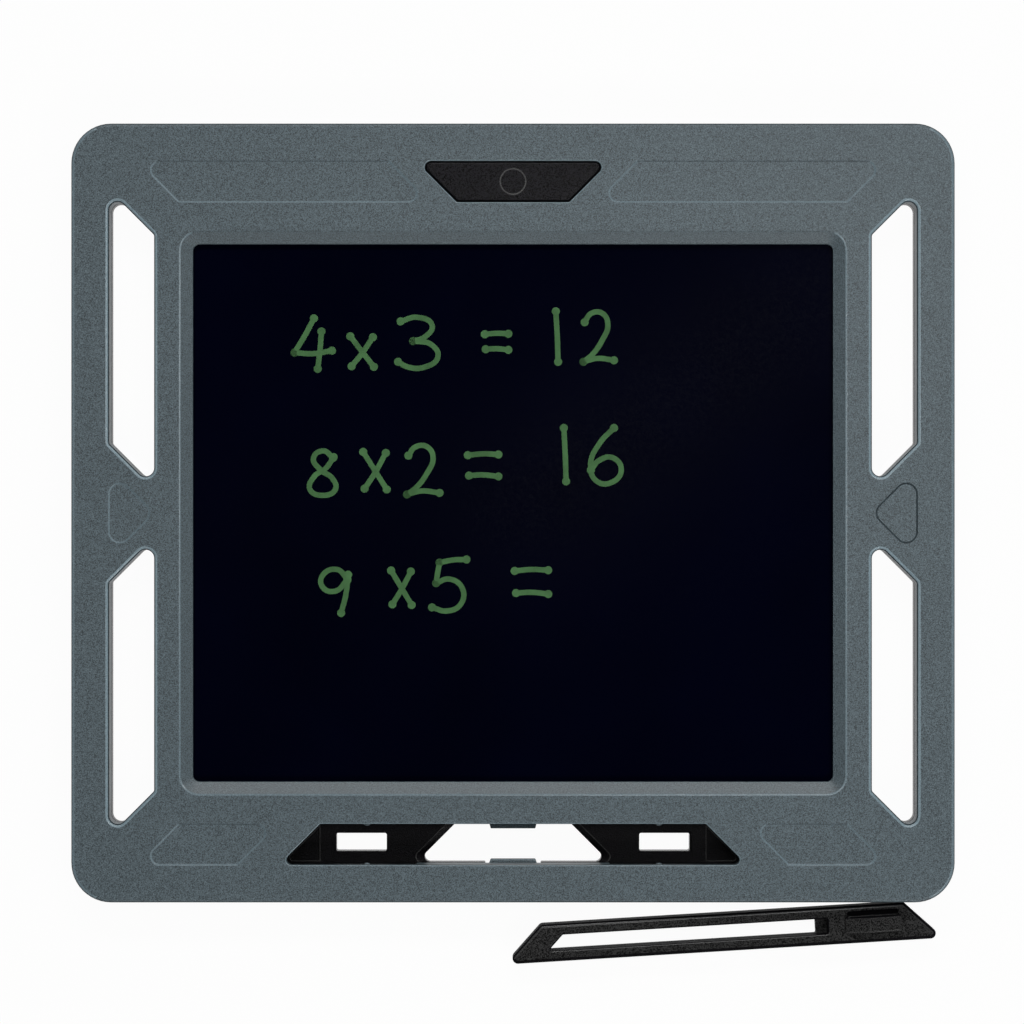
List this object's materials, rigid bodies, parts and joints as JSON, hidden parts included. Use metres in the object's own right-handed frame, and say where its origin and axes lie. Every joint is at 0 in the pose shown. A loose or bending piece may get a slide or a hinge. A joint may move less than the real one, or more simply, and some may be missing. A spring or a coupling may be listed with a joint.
{
  "type": "lcd writing tablet",
  "caption": "Flat writing tablet with a dark pressure-sensitive film in a grey frame with slanted hand slots, an erase button, a stylus dock and a loose black stylus.",
  "frame": {"origin": "centre of the tablet's flat back face", "axes": "+Z out of the writing side, +Y towards the edge with the erase button, +X to the right when written on"},
  "size_m": [0.2284, 0.2178, 0.0113],
  "materials": {
    "grey_shell": "slate grey moulded plastic with a fine grain",
    "black_shell": "black moulded plastic, satin",
    "film": "very dark blue-black flexible film, slightly glossy",
    "tape": "pale double-sided tape",
    "backer": "grey plastic sheet",
    "board_green": "green solder mask",
    "switch_black": "black moulded plastic",
    "plunger_white": "white moulded plastic",
    "chip_black": "black moulding compound",
    "ferrite": "dark sintered ferrite",
    "ceramic": "tan ceramic",
    "flex_amber": "amber polyimide",
    "connector_ivory": "ivory moulded plastic",
    "steel": "bright steel",
    "screw_steel": "dark zinc-plated steel"
  },
  "bodies": {
    "tablet": {"front_frame": "grey_shell", "back_cover": "black_shell", "writing_film": "film", "film_tape": "tape", "backer_plate": "backer", "switch_body": "switch_black", "circuit_board": "board_green", "driver_chip": "chip_black", "boost_inductor": "ferrite", "capacitor_1": "ceramic", "capacitor_2": "ceramic", "capacitor_3": "ceramic", "flex_connector": "connector_ivory", "flex_tail": "flex_amber", "coin_cell": "steel", "cell_contact": "steel", "cell_clip": "steel", "battery_door": "black_shell", "case_screw_1": "screw_steel", "case_screw_2": "screw_steel", "case_screw_3": "screw_steel", "case_screw_4": "screw_steel", "case_screw_5": "screw_steel", "case_screw_6": "screw_steel", "case_screw_7": "screw_steel", "case_screw_8": "screw_steel", "case_screw_9": "screw_steel", "case_screw_10": "screw_steel", "board_screw_1": "screw_steel", "board_screw_2": "screw_steel", "board_screw_3": "screw_steel", "door_screw": "screw_steel"},
    "erase_button": {"erase_button": "black_shell"},
    "switch_plunger": {"switch_plunger": "plunger_white"},
    "stylus": {"stylus": "black_shell"}
  },
  "joints": [
    {"name": "erase_press", "type": "slide", "parent": "tablet", "child": "erase_button", "axis": [0, 0, -1], "range_m": [0, 0.0005], "stiffness_N_per_m": 400, "springref_m": -0.001},
    {"name": "plunger_press", "type": "slide", "parent": "tablet", "child": "switch_plunger", "axis": [0, 0, -1], "range_m": [0, 0.0005]},
    {"name": "stylus_lift", "type": "slide", "parent": "tablet", "child": "stylus", "axis": [0, 0, 1], "range_m": [0, 0.06]}
  ],
  "couplings": [
    {"joint": "plunger_press", "follows": "erase_press", "ratio": 1}
  ]
}
